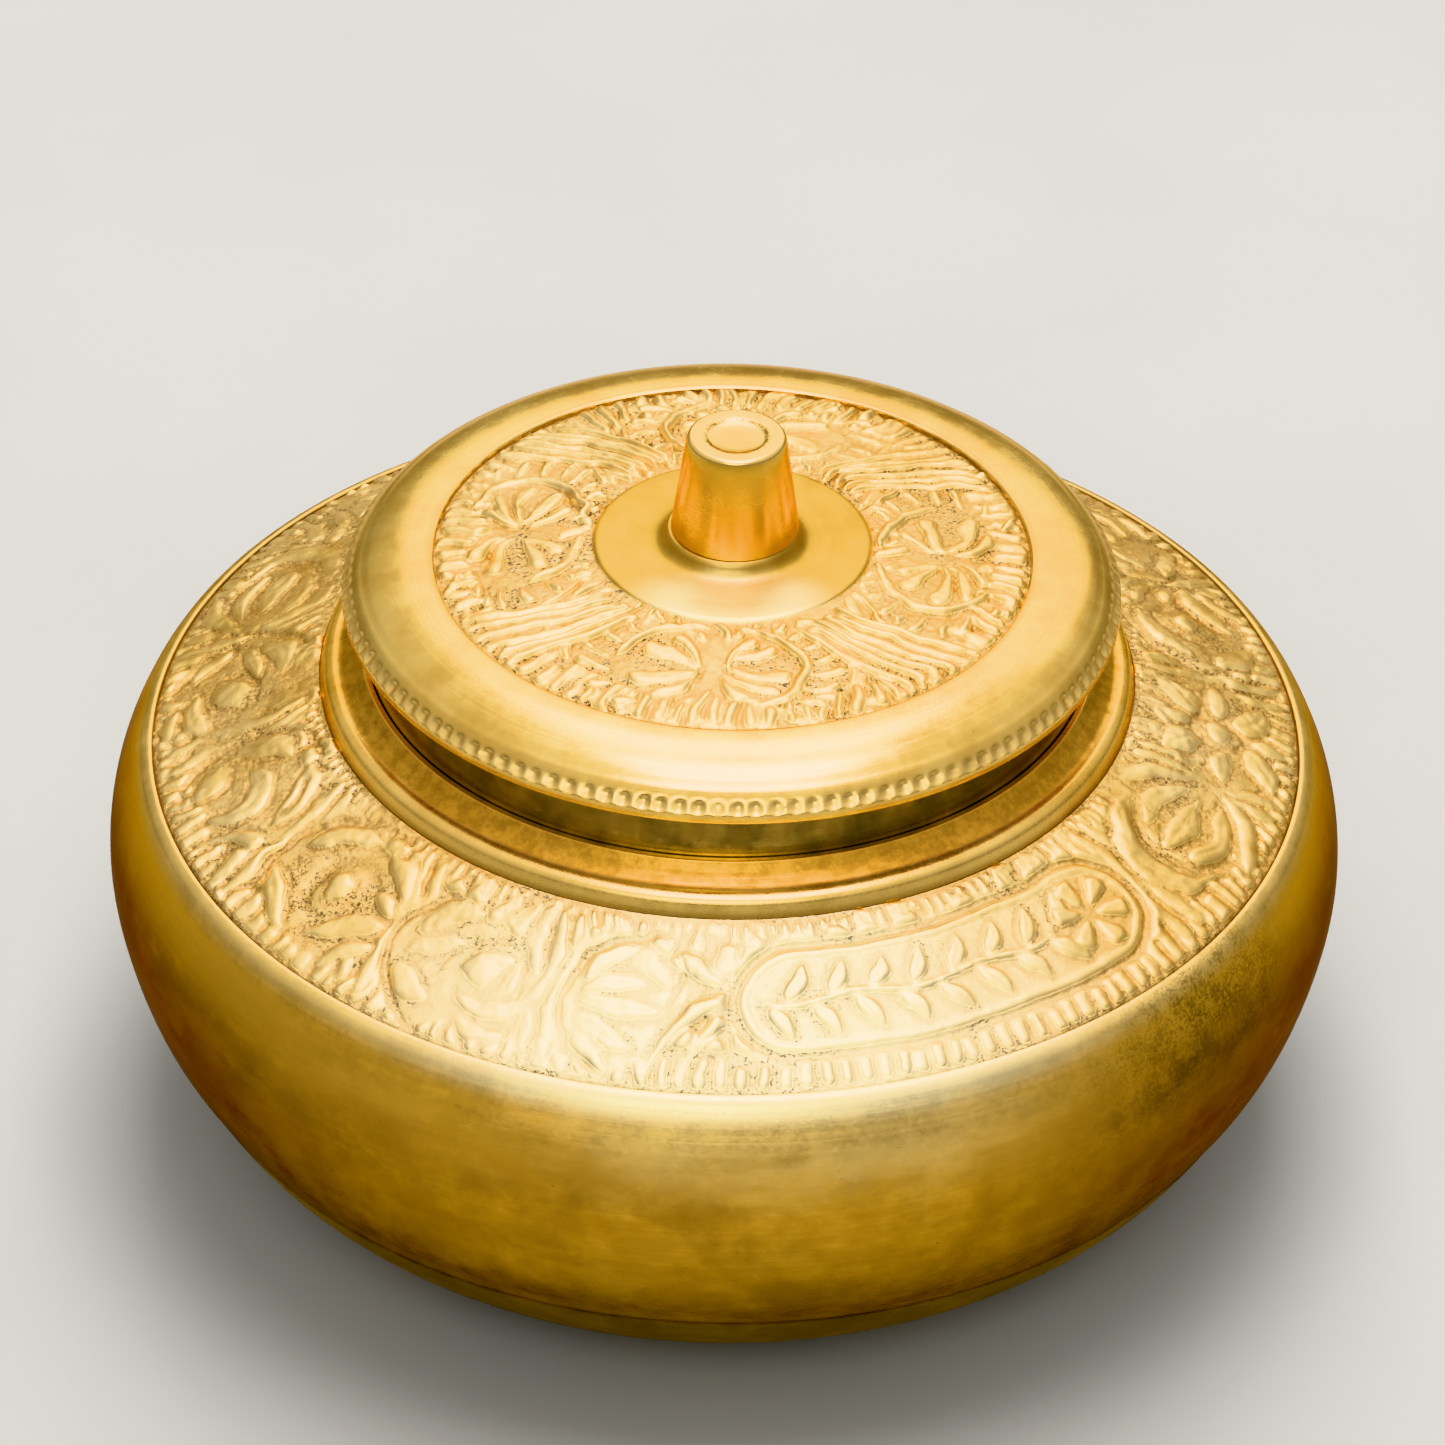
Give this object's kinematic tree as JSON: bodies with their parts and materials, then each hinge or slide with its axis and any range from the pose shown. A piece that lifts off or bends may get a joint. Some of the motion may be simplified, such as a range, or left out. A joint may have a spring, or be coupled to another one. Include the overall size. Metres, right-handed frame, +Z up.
{
  "type": "lidded round box",
  "caption": "Squat round brass box: turned bowl, embossed shoulder, polished neck, and a loose lift-off lid with milled edge, embossed plate and tapered finger knob.",
  "frame": {"origin": "middle of the foot, on the surface that the box stands on", "axes": "+Z up along the turning axis, through the knob; every section is round about Z"},
  "size_m": [0.1016, 0.1016, 0.0658],
  "materials": {
    "dish_brass": "turned, aged, satin",
    "side_brass": "turned, aged, brown-olive patina, satin",
    "shoulder_brass": "embossed, pale gold, grime in the hollows",
    "collar_brass": "turned, satin with a polished bead",
    "neck_brass": "polished",
    "lid_ring_brass": "turned, satin, milled edge",
    "lid_plate_brass": "embossed, grime in the hollows",
    "skirt_brass": "turned, satin",
    "knob_brass": "polished",
    "fixing_brass": "as hammered, satin"
  },
  "bodies": {
    "box": {"base_dish": "dish_brass", "side_wall": "side_brass", "shoulder_plate": "shoulder_brass", "collar_ring": "collar_brass", "neck_sleeve": "neck_brass"},
    "lid": {"lid_ring": "lid_ring_brass", "lid_plate": "lid_plate_brass", "lid_skirt": "skirt_brass", "knob": "knob_brass", "knob_stud": "fixing_brass", "knob_washer": "fixing_brass"}
  },
  "joints": [
    {"name": "lid_lift", "type": "slide", "parent": "box", "child": "lid", "axis": [0, 0, 1], "range_m": [0, 0.06]}
  ]
}
